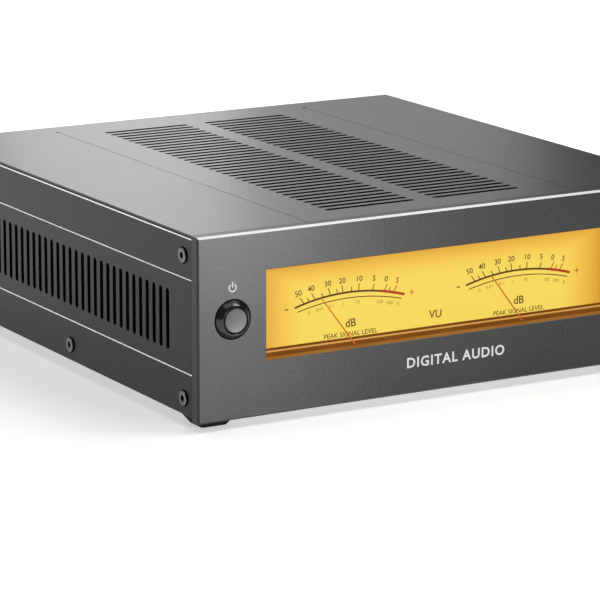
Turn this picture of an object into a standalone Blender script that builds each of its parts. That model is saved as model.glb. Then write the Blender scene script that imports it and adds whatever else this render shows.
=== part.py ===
"""Desktop stereo converter: a flat aluminium case with two back-lit level meters behind a front window.

Sizes are in millimetres. X runs to the right as seen from the front and is measured from the centre plane,
"depth" runs back from the front panel's face, and Z runs up from the surface that the feet stand on.
The origin is the bottom centre of the whole object.
"""

import math

import bmesh
import bpy

MM = 0.001
GAP = 0.3

# Case
WIDTH = 208.0
BODY_DEPTH = 214.5
FOOT_DROP = 3.2
PANEL_HEIGHT = 66.9
PANEL_THICK = 4.2
PANEL_CHAMFER = 0.75
PANEL_TOP = FOOT_DROP + PANEL_HEIGHT
HALF = WIDTH / 2
SIDE_THICK = 2.4
SIDE_BOTTOM = FOOT_DROP + 1.6
SIDE_TOP = SIDE_BOTTOM + 64.05
GROOVES = (20.35, 54.3)
GROOVE_DEPTH = 0.55
EDGE_BREAK = 0.4
SHEET = 1.5
FLANGE_OUT = HALF - SIDE_THICK - 0.5
FLANGE_IN = FLANGE_OUT - SHEET
COVER_THICK = 2.0
COVER_RIM = 0.8
COVER_STEP = 0.08
COVER_FLANGE_BOTTOM = 56.5
TRAY_BOTTOM = SIDE_BOTTOM + 0.1
TRAY_FLANGE_TOP = 16.0
SHELL_START = PANEL_THICK + GAP
TRAY_END = BODY_DEPTH - 4.0
REAR_INNER = TRAY_END + 0.4
REAR_FACE = REAR_INNER + 2.0
JACK_PROUD = 9.5
BUTTON_PROUD = 2.5
LENGTH = BUTTON_PROUD + REAR_FACE + JACK_PROUD
FRONT_Y = BUTTON_PROUD - LENGTH / 2

# Vents
SLOT_COUNT = 35
SLOT_END_STEPS = 3
TOP_SLOT_WIDTH = 2.5
TOP_SLOT_FIRST = 19.4
TOP_SLOT_PITCH = 5.1
TOP_SLOT_SPAN = (4.0, 41.3)
SIDE_SLOT_WIDTH = 2.3
SIDE_SLOT_FIRST = 22.05
SIDE_SLOT_PITCH = 5.13
SIDE_SLOT_SPAN = (26.1, 48.0)

# Side screws: depth and height of each, name ending
SIDE_SCREWS = {
    "top_front": (10.3, 62.2),
    "top_rear": (203.0, 62.2),
    "bottom_front": (10.3, 10.8),
    "bottom_middle": (99.5, 10.8),
    "bottom_rear": (203.0, 10.8),
}
SCREW_HEAD_R = 2.75
SCREW_SHANK_R = 1.45
SCREW_HOLE_R = 1.8
SCREW_LENGTH = 7.2
SCREW_CONE = 1.3
SCREW_PROUD = 0.7
SCREW_SEAT = 0.1
SOCKET_R = 1.3
SOCKET_DEEP = 1.9

# Feet
FOOT_TOP = (14.5, 13.7)
FOOT_TAPER = FOOT_DROP
FOOT_X = 93.75
FOOT_DEPTHS = {"front": 11.35, "rear": BODY_DEPTH - 11.35}

# Window and meters
WINDOW_HALF = 76.5
WINDOW_Z = (23.1, 55.9)
LENS_HALF = 79.0
LENS_DEPTH = (PANEL_THICK + 0.4, PANEL_THICK + 2.4)
LENS_Z = (21.0, 58.0)
DIAL_DEPTH = (11.0, 12.2)
DIAL_HALF = 78.6
DIAL_Z = (24.3, 58.6)
RAIL_DEPTH = (10.9, 12.5)
RAIL_Z = (22.4, 23.4)
FRAME_HALF = 80.5
FRAME_Z = (10.5, 60.5)
FRAME_DEPTH = (7.0, 27.5)
FRAME_WALL = 1.5
METER_PIVOTS = {"left": -33.7, "right": 38.75}
PIVOT_Z = 21.1
NEEDLE_ANGLE = 37.4
NEEDLE_LENGTH = 24.4
NEEDLE_DEPTH = (9.6, 10.0)
HUB_DEPTH = (9.2, 10.5)
HUB_R = 1.2
AXLE_R = 0.7
AXLE_END = 17.0

# Push buttons
BUTTON_X = {"power": -90.0, "input": 90.0}
BUTTON_Z = 39.66
BEZEL_BASE_R = 7.0
BEZEL_LIP_R = 5.15
BEZEL_BORE_R = 4.85
BEZEL_PROUD = 2.4
BEZEL_END = 6.5
CAP_R = 4.5
STEM_R = 2.0
STEM_END = 9.0

# Boards and what stands on them
BOARD_Z = (12.0, 13.6)
MAIN_BOARD = ((-92.0, 92.0), (128.0, 206.0))
POWER_BOARD = ((-92.0, -12.0), (40.0, 122.0))
TUBE_DEPTH = 150.0
TUBE_X = 22.0

# Rear connectors: x and z of each
XLR_AT = {"left": (-74.0, 44.0), "right": (-42.0, 44.0)}
PHONO_AT = {
    "line_output_left": (-16.0, 52.0),
    "line_output_right": (-16.0, 32.0),
    "coaxial_input": (12.0, 46.0),
}
USB_AT = (6.0, 20.1)
OPTICAL_AT = (28.0, 20.1)
INLET_AT = (68.0, 47.2)
ROCKER_AT = (68.0, 24.4)
ROCKER_AXIS_DEPTH = 209.5
ROCKER_TILT = 10.0

FINISHES = {
    "case_metal": ((0.13, 0.13, 0.135), 0.42, 0.85),
    "tray_steel": ((0.33, 0.34, 0.35), 0.4, 0.9),
    "black_plastic": ((0.012, 0.012, 0.013), 0.35, 0.0),
    "black_gloss": ((0.006, 0.006, 0.007), 0.08, 0.0),
    "button_metal": ((0.2, 0.2, 0.21), 0.35, 0.8),
    "foot_rubber": ((0.01, 0.01, 0.01), 0.8, 0.0),
    "screw_steel": ((0.1, 0.1, 0.105), 0.35, 0.9),
    "dial_amber": ((1.0, 0.62, 0.14), 0.4, 0.0),
    "needle_orange": ((0.8, 0.16, 0.02), 0.4, 0.0),
    "lens_clear": ((0.9, 0.9, 0.9), 0.02, 0.0),
    "circuit_board": ((0.01, 0.05, 0.03), 0.4, 0.0),
    "tube_glass": ((0.75, 0.8, 0.82), 0.05, 0.0),
    "transformer_wrap": ((0.02, 0.02, 0.022), 0.5, 0.0),
    "capacitor_sleeve": ((0.02, 0.02, 0.03), 0.3, 0.0),
    "shield_metal": ((0.6, 0.6, 0.6), 0.35, 1.0),
    "jack_gold": ((0.85, 0.62, 0.22), 0.25, 1.0),
}


def start_scene():
    for old in list(bpy.data.objects):
        bpy.data.objects.remove(old)
    made = []
    for name in ("desktop_dac", "cutters"):
        group = bpy.data.collections.new(name)
        bpy.context.scene.collection.children.link(group)
        made.append(group)
    return made


PARTS, CUTTERS = start_scene()


def finish_material(name):
    found = bpy.data.materials.get(name)
    if found:
        return found
    color, roughness, metallic = FINISHES[name]
    made = bpy.data.materials.new(name)
    made.use_nodes = True
    shader = made.node_tree.nodes["Principled BSDF"]
    shader.inputs["Base Color"].default_value = (*color, 1.0)
    shader.inputs["Roughness"].default_value = roughness
    shader.inputs["Metallic"].default_value = metallic
    return made


def add(name, mesh, finish, x=0.0, depth=0.0, z=0.0, turn=(0.0, 0.0, 0.0)):
    """Puts a mesh in the scene: a part if it has a finish, and a cutter if it has none."""
    piece = bpy.data.objects.new(name, mesh)
    piece.location = (x * MM, (FRONT_Y + depth) * MM, z * MM)
    piece.rotation_euler = [math.radians(angle) for angle in turn]
    if finish:
        PARTS.objects.link(piece)
        mesh.materials.append(finish_material(finish))
    else:
        CUTTERS.objects.link(piece)
        piece.hide_render = True
        piece.display_type = "WIRE"
    return piece


def mesh_from(bm, name):
    bmesh.ops.recalc_face_normals(bm, faces=bm.faces)
    mesh = bpy.data.meshes.new(name)
    bm.to_mesh(mesh)
    bm.free()
    return mesh


def box(name, finish, x, depth, z, chamfer=0.0):
    """A block between two values of x, of depth and of z."""
    size = [(high - low) * MM for low, high in (x, depth, z)]
    bm = bmesh.new()
    bmesh.ops.create_cube(bm, size=1.0)
    bmesh.ops.scale(bm, vec=size, verts=bm.verts)
    piece = add(name, mesh_from(bm, name), finish, sum(x) / 2, sum(depth) / 2, sum(z) / 2)
    if chamfer:
        bevel = piece.modifiers.new("chamfer", "BEVEL")
        bevel.width = chamfer * MM
        bevel.segments = 1
    return piece


def rod(name, finish, x, depth, z, radius, sides=24, end_radius=None):
    """A round or faceted rod along Y between two depths; end_radius makes it a cone."""
    bm = bmesh.new()
    bmesh.ops.create_cone(
        bm,
        cap_ends=True,
        segments=sides,
        radius1=radius * MM,
        radius2=(radius if end_radius is None else end_radius) * MM,
        depth=(depth[1] - depth[0]) * MM,
    )
    return add(name, mesh_from(bm, name), finish, x, sum(depth) / 2, z, turn=(-90, 0, 0))


def turned(name, finish, profile, steps=32, ring=False, **place):
    """A turned piece: profile is (radius, height) pairs that run down the outer side."""
    mesh = bpy.data.meshes.new(name)
    points = [(radius * MM, 0.0, height * MM) for radius, height in profile]
    edges = [(i, i + 1) for i in range(len(points) - 1)]
    if ring:
        edges.append((len(points) - 1, 0))
    mesh.from_pydata(points, edges, [])
    piece = add(name, mesh, finish, **place)
    screw = piece.modifiers.new("turning", "SCREW")
    screw.axis = "Z"
    screw.angle = math.tau
    screw.steps = steps
    screw.render_steps = steps
    screw.use_merge_vertices = True
    screw.merge_threshold = 0.00001
    return piece


def outline(name, finish, loops, thickness, **place):
    """A flat piece cut from a plate in its own XY plane, centred on it; each loop is a list of points."""
    curve = bpy.data.curves.new(name, "CURVE")
    curve.dimensions = "2D"
    curve.fill_mode = "BOTH"
    curve.extrude = thickness / 2 * MM
    for loop in loops:
        spline = curve.splines.new("POLY")
        spline.points.add(len(loop) - 1)
        for point, (u, v) in zip(spline.points, loop):
            point.co = (u * MM, v * MM, 0.0, 1.0)
        spline.use_cyclic_u = True
    drawn = bpy.data.objects.new(name, curve)
    bpy.context.scene.collection.objects.link(drawn)
    bpy.context.view_layer.update()
    graph = bpy.context.evaluated_depsgraph_get()
    flat = bpy.data.meshes.new_from_object(drawn.evaluated_get(graph))
    bpy.data.objects.remove(drawn)
    bm = bmesh.new()
    bm.from_mesh(flat)
    bpy.data.meshes.remove(flat)
    bmesh.ops.remove_doubles(bm, verts=bm.verts, dist=0.000001)
    return add(name, mesh_from(bm, name), finish, **place)


def extrusion(name, finish, section, depth):
    """A straight extrusion along Y of a section drawn in X and Z."""
    return outline(name, finish, [section], depth[1] - depth[0], depth=sum(depth) / 2, turn=(90, 0, 0))


def boolean(piece, tool, operation):
    step = piece.modifiers.new(tool.name, "BOOLEAN")
    step.operation = operation
    step.solver = "EXACT"
    step.object = tool
    return piece


def cut(piece, *tools):
    for tool in tools:
        boolean(piece, tool, "DIFFERENCE")
    return piece


def fuse(piece, *tools):
    for tool in tools:
        boolean(piece, tool, "UNION")
    return piece


def slot_outline(center, half_length, half_width):
    """A slot with round ends, its length along the second axis."""
    u, v = center
    straight = half_length - half_width
    points = []
    for end, start in ((1, 0.0), (-1, math.pi)):
        for i in range(SLOT_END_STEPS + 1):
            angle = start + math.pi * i / SLOT_END_STEPS
            points.append((u + half_width * math.cos(angle), v + end * straight + half_width * math.sin(angle)))
    return points


def slots(name, first, pitch, span, width, sides, place):
    """One cutter that holds a row of slots for each side in sides."""
    middle = sum(span) / 2
    half_length = (span[1] - span[0]) / 2
    loops = [
        slot_outline((first + i * pitch, side * middle), half_length, width / 2)
        for side in sides
        for i in range(SLOT_COUNT)
    ]
    return outline(name, None, loops, 8.0, **place)


def mirrored(points):
    """A closed section from its right half, listed from the top centre outwards and down."""
    return points + [(-x, z) for x, z in reversed(points)]


def side_name(side):
    return "left" if side < 0 else "right"


def screw_hole(name, side, depth, z):
    """A countersunk hole through a side wall and the flange behind it."""
    face = 0.05
    profile = [
        (0.0, face),
        (SCREW_HEAD_R + 0.4 + face, face),
        (SCREW_HOLE_R, -SCREW_CONE),
        (SCREW_HOLE_R, -SCREW_LENGTH),
        (0.0, -SCREW_LENGTH),
    ]
    return turned(name, None, profile, 20, x=side * HALF, depth=depth, z=z, turn=(0, side * 90, 0))


def side_screw(side, ending, depth, z):
    """A screw whose low head stands a little proud of the side, over its cone."""
    name = f"side_screw_{side_name(side)}_{ending}"
    profile = [
        (0.0, SCREW_PROUD),
        (SCREW_HEAD_R, SCREW_PROUD),
        (SCREW_HEAD_R, -SCREW_SEAT),
        (SCREW_SHANK_R, -SCREW_SEAT - SCREW_CONE),
        (SCREW_SHANK_R, -SCREW_LENGTH + 0.6),
        (0.0, -SCREW_LENGTH + 0.6),
    ]
    place = {"depth": depth, "z": z, "turn": (0, side * 90, 0)}
    screw = turned(name, "screw_steel", profile, 20, x=side * HALF, **place)
    hexagon = bmesh.new()
    reach = 2 * SOCKET_DEEP * MM
    across = SOCKET_R * MM
    bmesh.ops.create_cone(hexagon, cap_ends=True, segments=6, radius1=across, radius2=across, depth=reach)
    middle = side * (HALF + SCREW_PROUD)
    return cut(screw, add(f"{name}_socket", mesh_from(hexagon, f"{name}_socket"), None, x=middle, **place))


def make_side(side):
    """One side panel with its grooves, vents and countersunk holes."""
    outer = side * HALF
    inner = side * (HALF - SIDE_THICK)
    section = [(outer - side * EDGE_BREAK, SIDE_TOP), (inner, SIDE_TOP), (inner, SIDE_BOTTOM)]
    section += [(outer - side * EDGE_BREAK, SIDE_BOTTOM), (outer, SIDE_BOTTOM + EDGE_BREAK)]
    for z in GROOVES:
        section += [(outer, z - GROOVE_DEPTH), (outer - side * GROOVE_DEPTH, z), (outer, z + GROOVE_DEPTH)]
    section.append((outer, SIDE_TOP - EDGE_BREAK))
    label = side_name(side)
    panel = extrusion(f"{label}_side_panel", "case_metal", section, (SHELL_START, BODY_DEPTH))
    place = {"x": outer, "turn": (90, 0, 90)}
    row = (SIDE_SLOT_FIRST, SIDE_SLOT_PITCH, SIDE_SLOT_SPAN, SIDE_SLOT_WIDTH)
    cut(panel, slots(f"{label}_side_slots", *row, (1,), place))
    holes = {}
    for ending, (depth, z) in SIDE_SCREWS.items():
        holes[ending] = screw_hole(f"{label}_hole_{ending}", side, depth, z)
        cut(panel, holes[ending])
        side_screw(side, ending, depth, z)
    return holes


def make_front_panel():
    panel = box("front_panel", "case_metal", (-HALF, HALF), (0.0, PANEL_THICK), (FOOT_DROP, PANEL_TOP), PANEL_CHAMFER)
    through = (-2.0, PANEL_THICK + 2.0)
    cut(panel, box("window_opening", None, (-WINDOW_HALF, WINDOW_HALF), through, WINDOW_Z))
    for label, x in BUTTON_X.items():
        cut(panel, rod(f"{label}_bezel_hole", None, x, through, BUTTON_Z, BEZEL_BASE_R + GAP, 32))


def make_cover(holes):
    """The top cover: a plate whose thin rim lies over the side panels, with a folded flange inside each."""
    rim = HALF - GAP
    under = PANEL_TOP - COVER_THICK
    section = mirrored(
        [
            (rim - EDGE_BREAK, PANEL_TOP),
            (rim, PANEL_TOP - EDGE_BREAK),
            (rim, PANEL_TOP - COVER_RIM),
            (FLANGE_OUT, PANEL_TOP - COVER_RIM - COVER_STEP),
            (FLANGE_OUT, COVER_FLANGE_BOTTOM),
            (FLANGE_IN, COVER_FLANGE_BOTTOM),
            (FLANGE_IN, under),
        ]
    )
    cover = extrusion("top_cover", "case_metal", section, (SHELL_START, BODY_DEPTH))
    place = {"z": PANEL_TOP, "turn": (0, 0, 90)}
    row = (TOP_SLOT_FIRST, TOP_SLOT_PITCH, TOP_SLOT_SPAN, TOP_SLOT_WIDTH)
    cut(cover, slots("top_slots", *row, (-1, 1), place))
    for side in holes:
        cut(cover, side["top_front"], side["top_rear"])


def make_tray(holes):
    """The bottom tray, folded up at both sides, with pressed bosses under the boards."""
    floor_top = TRAY_BOTTOM + SHEET
    section = mirrored(
        [
            (FLANGE_IN, floor_top),
            (FLANGE_IN, TRAY_FLANGE_TOP),
            (FLANGE_OUT, TRAY_FLANGE_TOP),
            (FLANGE_OUT, TRAY_BOTTOM),
        ]
    )
    tray = extrusion("bottom_tray", "tray_steel", section, (SHELL_START + 0.2, TRAY_END))
    for label, (xs, depths) in (("main", MAIN_BOARD), ("power", POWER_BOARD)):
        for i, x in enumerate((xs[0] + 5, xs[1] - 5)):
            for j, depth in enumerate((depths[0] + 5, depths[1] - 5)):
                boss = [(0.0, BOARD_Z[0] - GAP), (3.0, BOARD_Z[0] - GAP), (4.0, floor_top - 0.4), (0.0, floor_top - 0.4)]
                fuse(tray, turned(f"{label}_boss_{i}{j}", None, boss, 12, x=x, depth=depth))
    for side in holes:
        cut(tray, side["bottom_front"], side["bottom_middle"], side["bottom_rear"])


def make_foot(name, x, depth):
    """A square rubber foot whose sides slope in towards the floor."""
    neck = TRAY_BOTTOM - GAP - FOOT_DROP
    bm = bmesh.new()
    bmesh.ops.create_cube(bm, size=1.0)
    bmesh.ops.scale(bm, vec=(FOOT_TOP[0] * MM, FOOT_TOP[1] * MM, neck * MM), verts=bm.verts)
    bmesh.ops.translate(bm, vec=(0, 0, (FOOT_DROP + neck / 2) * MM), verts=bm.verts)
    bottom = min(bm.faces, key=lambda face: face.calc_center_median().z)
    grown = bmesh.ops.extrude_face_region(bm, geom=[bottom])
    lower = [item for item in grown["geom"] if isinstance(item, bmesh.types.BMVert)]
    bmesh.ops.delete(bm, geom=[bottom], context="FACES_ONLY")
    shrink = [(width - 2 * FOOT_TAPER) / width for width in FOOT_TOP]
    bmesh.ops.scale(bm, vec=(shrink[0], shrink[1], 1), verts=lower)
    bmesh.ops.translate(bm, vec=(0, 0, -FOOT_DROP * MM), verts=lower)
    add(name, mesh_from(bm, name), "foot_rubber", x, depth)


def make_bracket(side, holes):
    """An angle that ties the front panel to the cover's flange at one upper corner."""
    near = HALF - 4.8
    wall = 1.6
    depths = (SHELL_START + 0.1, 22.0)
    heights = (50.5, PANEL_TOP - COVER_THICK - 0.5)
    section = [(near, depths[0]), (near - 13.0, depths[0]), (near - 13.0, depths[0] + wall)]
    section += [(near - wall, depths[0] + wall), (near - wall, depths[1]), (near, depths[1])]
    points = [(side * x, depth) for x, depth in section]
    bracket = outline(
        f"front_bracket_{side_name(side)}", "tray_steel", [points], heights[1] - heights[0], z=sum(heights) / 2
    )
    cut(bracket, holes["top_front"])


def make_meters():
    """The window's lens, the meter frame with its dial plate, and the two movements with their needles."""
    box("window_lens", "lens_clear", (-LENS_HALF, LENS_HALF), LENS_DEPTH, LENS_Z)
    frame = box("meter_frame", "black_plastic", (-FRAME_HALF, FRAME_HALF), FRAME_DEPTH, FRAME_Z)
    inner_half = FRAME_HALF - FRAME_WALL
    inner_z = (FRAME_Z[0] + FRAME_WALL, FRAME_Z[1] - FRAME_WALL)
    cut(frame, box("frame_inside", None, (-inner_half, inner_half), (FRAME_DEPTH[0] - 1, FRAME_DEPTH[1] + 1), inner_z))
    box("dial_plate", "dial_amber", (-DIAL_HALF, DIAL_HALF), DIAL_DEPTH, DIAL_Z)
    box("dial_rail", "dial_amber", (-DIAL_HALF, DIAL_HALF), RAIL_DEPTH, RAIL_Z)
    box("backlight_board", "circuit_board", (-77.0, 77.0), (FRAME_DEPTH[1] + 0.5, FRAME_DEPTH[1] + 2.1), (14.0, 57.0))
    for label, x in METER_PIVOTS.items():
        make_movement(label, x)
        make_needle(label, x)


def make_movement(label, x):
    front, back, bore_end = 14.0, 25.0, AXLE_END + 0.6
    profile = [
        (0.0, -bore_end),
        (1.1, -bore_end),
        (1.1, -front),
        (7.7, -front),
        (8.5, -front - 0.8),
        (8.5, -back),
        (0.0, -back),
    ]
    turned(f"meter_movement_{label}", "black_plastic", profile, 32, x=x, z=PIVOT_Z, turn=(90, 0, 0))


def make_needle(label, x):
    """The needle, its hub and its axle, turned about the axle; it is drawn at a low reading."""
    pivot_depth = sum(NEEDLE_DEPTH) / 2
    blade = [(-0.35, 0.0), (0.35, 0.0), (0.2, NEEDLE_LENGTH), (-0.2, NEEDLE_LENGTH)]
    tail = [(-0.9, -4.2), (0.9, -4.2), (0.6, 0.0), (-0.6, 0.0)]
    thick = NEEDLE_DEPTH[1] - NEEDLE_DEPTH[0]
    lean = -NEEDLE_ANGLE
    name = f"needle_{label}"
    needle = outline(name, "needle_orange", [blade], thick, x=x, depth=pivot_depth, z=PIVOT_Z, turn=(90, lean, 0))
    weight = outline(f"{name}_tail", None, [tail], thick * 2, x=x, depth=pivot_depth, z=PIVOT_Z, turn=(90, lean, 0))
    hub = rod(f"{name}_hub", None, x, HUB_DEPTH, PIVOT_Z, HUB_R, 20)
    axle = rod(f"{name}_axle", None, x, (HUB_DEPTH[1] - 0.4, AXLE_END), PIVOT_Z, AXLE_R, 12)
    fuse(needle, hub, weight, axle)


def make_button(label, x):
    """A push button: its cap slides in a conical bezel and presses a switch on a small board."""
    at = {"x": x, "z": BUTTON_Z, "turn": (90, 0, 0)}
    bezel = [
        (BEZEL_BORE_R, BEZEL_PROUD),
        (BEZEL_LIP_R, BEZEL_PROUD),
        (BEZEL_BASE_R, 0.0),
        (BEZEL_BASE_R, -BEZEL_END),
        (BEZEL_BORE_R, -BEZEL_END),
    ]
    turned(f"{label}_button_bezel", "black_gloss", bezel, 36, ring=True, **at)
    edge = 0.25
    cap = [
        (0.0, BUTTON_PROUD),
        (CAP_R - edge, BUTTON_PROUD),
        (CAP_R, BUTTON_PROUD - edge),
        (CAP_R, -BEZEL_END + 1.5),
        (STEM_R, -BEZEL_END + 1.5),
        (STEM_R, -STEM_END),
        (0.0, -STEM_END),
    ]
    turned(f"{label}_button", "button_metal", cap, 32, **at)
    front = STEM_END + 1.6
    switch = box(f"{label}_switch", "circuit_board", (x - 9, x + 9), (front + 4, front + 5.6), (BUTTON_Z - 9, BUTTON_Z + 9))
    fuse(switch, box(f"{label}_switch_body", None, (x - 4, x + 4), (front, front + 4.5), (BUTTON_Z - 4, BUTTON_Z + 4)))


def make_boards():
    """The main board and power board with what stands on them, and the toroidal transformer."""
    top = BOARD_Z[1] + GAP
    box("main_board", "circuit_board", *MAIN_BOARD, BOARD_Z)
    box("power_board", "circuit_board", *POWER_BOARD, BOARD_Z)
    for side in (-1, 1):
        label = side_name(side)
        socket = [(0.0, 9.0), (9.5, 9.0), (11.0, 7.0), (11.0, 0.0), (0.0, 0.0)]
        place = {"x": side * TUBE_X, "depth": TUBE_DEPTH}
        turned(f"tube_socket_{label}", "black_plastic", socket, 24, z=top, **place)
        glass = [(0.0, 41.0), (1.2, 39.5), (1.8, 37.0), (6.5, 35.5), (9.2, 31.5), (9.3, 2.0), (8.0, 0.0), (0.0, 0.0)]
        turned(f"tube_{label}", "tube_glass", glass, 24, z=top + 9.0 + GAP, **place)
        can = [(0.0, 34.0), (8.0, 34.0), (9.0, 33.0), (9.0, 0.0), (0.0, 0.0)]
        turned(f"capacitor_{label}", "capacitor_sleeve", can, 24, x=-52.0 + side * 13.0, depth=62.0, z=top)
    box("converter_shield", "shield_metal", (-84.0, -46.0), (135.0, 175.0), (top, top + 10.0), 0.5)
    coil = [(9.5, 2.0), (12.0, 0.0), (31.0, 0.0), (34.0, -4.0), (34.0, -26.0), (31.0, -30.0), (12.0, -30.0), (9.5, -28.0)]
    place = {"x": 41.0, "depth": 80.0}
    base = TRAY_BOTTOM + SHEET + GAP
    turned("toroidal_transformer", "transformer_wrap", coil, 36, ring=True, z=base + 30.0, **place)
    clamp = [(0.0, 6.5), (5.0, 6.5), (5.0, 2.6), (22.0, 2.6), (22.0, 0.9), (3.0, 0.9), (3.0, -31.0), (0.0, -31.0)]
    turned("transformer_clamp", "tray_steel", clamp, 24, z=base + 31.6, **place)


def make_xlr(label, x, z):
    """A male three-pin output socket: a flange, a barrel and three pins in an open cavity."""
    name = f"balanced_output_{label}"
    outer = REAR_FACE + GAP
    socket = box(name, "black_plastic", (x - 13, x + 13), (outer, outer + 2.0), (z - 15.5, z + 15.5), 1.0)
    barrel = rod(f"{name}_barrel", None, x, (196.0, outer + 0.6), z, 11.8, 32)
    cavity = rod(f"{name}_cavity", None, x, (201.0, outer + 6.0), z, 9.6, 32)
    fuse(socket, barrel)
    cut(socket, cavity)
    for i in range(3):
        angle = math.radians(90 + 120 * i)
        px, pz = x + 4.9 * math.cos(angle), z + 4.9 * math.sin(angle)
        fuse(socket, rod(f"{name}_pin_{i}", None, px, (199.0, outer), pz, 1.2, 10))
    return rod(f"{name}_hole", None, x, (REAR_INNER - 2, REAR_FACE + 2), z, 12.2, 32)


def make_phono(name, x, z):
    """A phono socket, turned in one piece: nut, ringed shell and a centre hole."""
    outer = REAR_FACE + GAP
    end = REAR_FACE + JACK_PROUD
    profile = [
        (0.0, end - 8.0),
        (1.8, end - 8.0),
        (1.8, end),
        (3.9, end),
        (4.15, end - 0.3),
        (4.15, outer + 2.2),
        (6.0, outer + 2.2),
        (6.0, outer),
        (3.8, outer),
        (3.8, 202.0),
        (0.0, 202.0),
    ]
    turned(name, "jack_gold", profile, 20, x=x, z=z, turn=(-90, 0, 0))
    return rod(f"{name}_hole", None, x, (REAR_INNER - 2, REAR_FACE + 2), z, 4.3, 20)


def make_usb(x, z):
    end = REAR_FACE + 1.3
    port = box("usb_input", "shield_metal", (x - 6, x + 6), (197.0, end), (z - 5.4, z + 5.4))
    cut(port, box("usb_cavity", None, (x - 4.3, x + 4.3), (204.0, end + 3), (z - 3.95, z + 3.95)))
    fuse(port, box("usb_tongue", None, (x - 2.8, x + 2.8), (203.0, end - 1.5), (z - 1.5, z + 1.5)))
    return box("usb_hole", None, (x - 6.4, x + 6.4), (REAR_INNER - 2, REAR_FACE + 2), (z - 5.8, z + 5.8))


def make_optical(x, z):
    """A square optical socket whose spring-loaded shutter hangs from its top edge and swings in."""
    end = REAR_FACE + 1.3
    port = box("optical_input", "black_plastic", (x - 6, x + 6), (197.0, end), (z - 5.8, z + 5.8))
    cut(port, box("optical_cavity", None, (x - 4.4, x + 4.4), (201.0, end + 3), (z - 4.6, z + 4.6)))
    hinge_depth, hinge_z = end - 1.2, z + 4.0
    flap = [(-4.0, -8.2), (4.0, -8.2), (4.0, 0.2), (-4.0, 0.2)]
    outline("optical_shutter", "black_plastic", [flap], 0.8, x=x, depth=hinge_depth, z=hinge_z, turn=(90, 0, 0))
    return box("optical_hole", None, (x - 6.4, x + 6.4), (REAR_INNER - 2, REAR_FACE + 2), (z - 6.2, z + 6.2))


def make_inlet(x, z):
    """A three-blade mains inlet."""
    outer = REAR_FACE + GAP
    inlet = box("mains_inlet", "black_plastic", (x - 25, x + 25), (outer, outer + 2.2), (z - 11.5, z + 11.5), 0.8)
    fuse(inlet, box("inlet_body", None, (x - 13.7, x + 13.7), (195.0, outer + 1.0), (z - 10, z + 10)))
    cut(inlet, box("inlet_cavity", None, (x - 12, x + 12), (199.5, outer + 6.0), (z - 8.2, z + 8.2)))
    for i, (dx, dz) in enumerate(((-7.0, -2.0), (0.0, 2.2), (7.0, -2.0))):
        across, along = (x + dx - 1, x + dx + 1), (z + dz - 2, z + dz + 2)
        fuse(inlet, box(f"inlet_blade_{i}", None, across, (198.0, outer - 1.0), along))
    return box("inlet_hole", None, (x - 14.1, x + 14.1), (REAR_INNER - 2, REAR_FACE + 2), (z - 10.4, z + 10.4))


def make_rocker(x, z):
    """The mains switch: a rocker on a level pin, resting with its lower end pressed in."""
    outer = REAR_FACE + GAP
    name = "mains_switch_housing"
    housing = box(name, "black_plastic", (x - 7.5, x + 7.5), (outer, outer + 1.5), (z - 10.8, z + 10.8), 0.5)
    fuse(housing, box("rocker_body", None, (x - 6.3, x + 6.3), (196.0, outer + 0.8), (z - 9.5, z + 9.5)))
    cut(housing, box("rocker_cavity", None, (x - 5.2, x + 5.2), (203.0, outer + 5.0), (z - 8.7, z + 8.7)))
    tilt = math.radians(-ROCKER_TILT)
    face = [(-1.5, 7.4), (4.6, 7.4), (3.3, 0.0), (4.6, -7.4), (-1.5, -7.4), (-3.0, 0.0)]
    leaned = [
        (out * math.cos(tilt) - up * math.sin(tilt), out * math.sin(tilt) + up * math.cos(tilt))
        for out, up in face
    ]
    outline("mains_rocker", "black_plastic", [leaned], 9.6, x=x, depth=ROCKER_AXIS_DEPTH, z=z, turn=(90, 0, 90))
    return box("rocker_hole", None, (x - 6.7, x + 6.7), (REAR_INNER - 2, REAR_FACE + 2), (z - 9.9, z + 9.9))


def make_rear():
    """The rear panel and the connectors that pass through it."""
    reach = HALF - 4.8
    top = PANEL_TOP - COVER_THICK - 0.4
    panel = box("rear_panel", "case_metal", (-reach, reach), (REAR_INNER, REAR_FACE), (TRAY_BOTTOM, top))
    for label, at in XLR_AT.items():
        cut(panel, make_xlr(label, *at))
    for name, at in PHONO_AT.items():
        cut(panel, make_phono(name, *at))
    cut(panel, make_usb(*USB_AT), make_optical(*OPTICAL_AT), make_inlet(*INLET_AT), make_rocker(*ROCKER_AT))


def shade_round_pieces():
    for piece in PARTS.objects:
        if any(step.type == "SCREW" for step in piece.modifiers):
            piece.modifiers["turning"].use_smooth_shade = True


def main():
    sides = [make_side(side) for side in (-1, 1)]
    make_front_panel()
    make_cover(sides)
    make_tray(sides)
    for side, holes in zip((-1, 1), sides):
        make_bracket(side, holes)
        for end, depth in FOOT_DEPTHS.items():
            make_foot(f"foot_{end}_{side_name(side)}", side * FOOT_X, depth)
    make_meters()
    for label, x in BUTTON_X.items():
        make_button(label, x)
    make_boards()
    make_rear()
    shade_round_pieces()


main()
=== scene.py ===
"""Looks of the desktop converter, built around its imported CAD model.

Lengths are in millimetres, and MM turns them to metres. Depth runs back from the front panel's face, x from
the centre plane and z up from the surface that the feet stand on, so a place is the same here as in the CAD.
"""

import math

import bmesh
import bpy
from mathutils import Matrix, Vector


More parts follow.
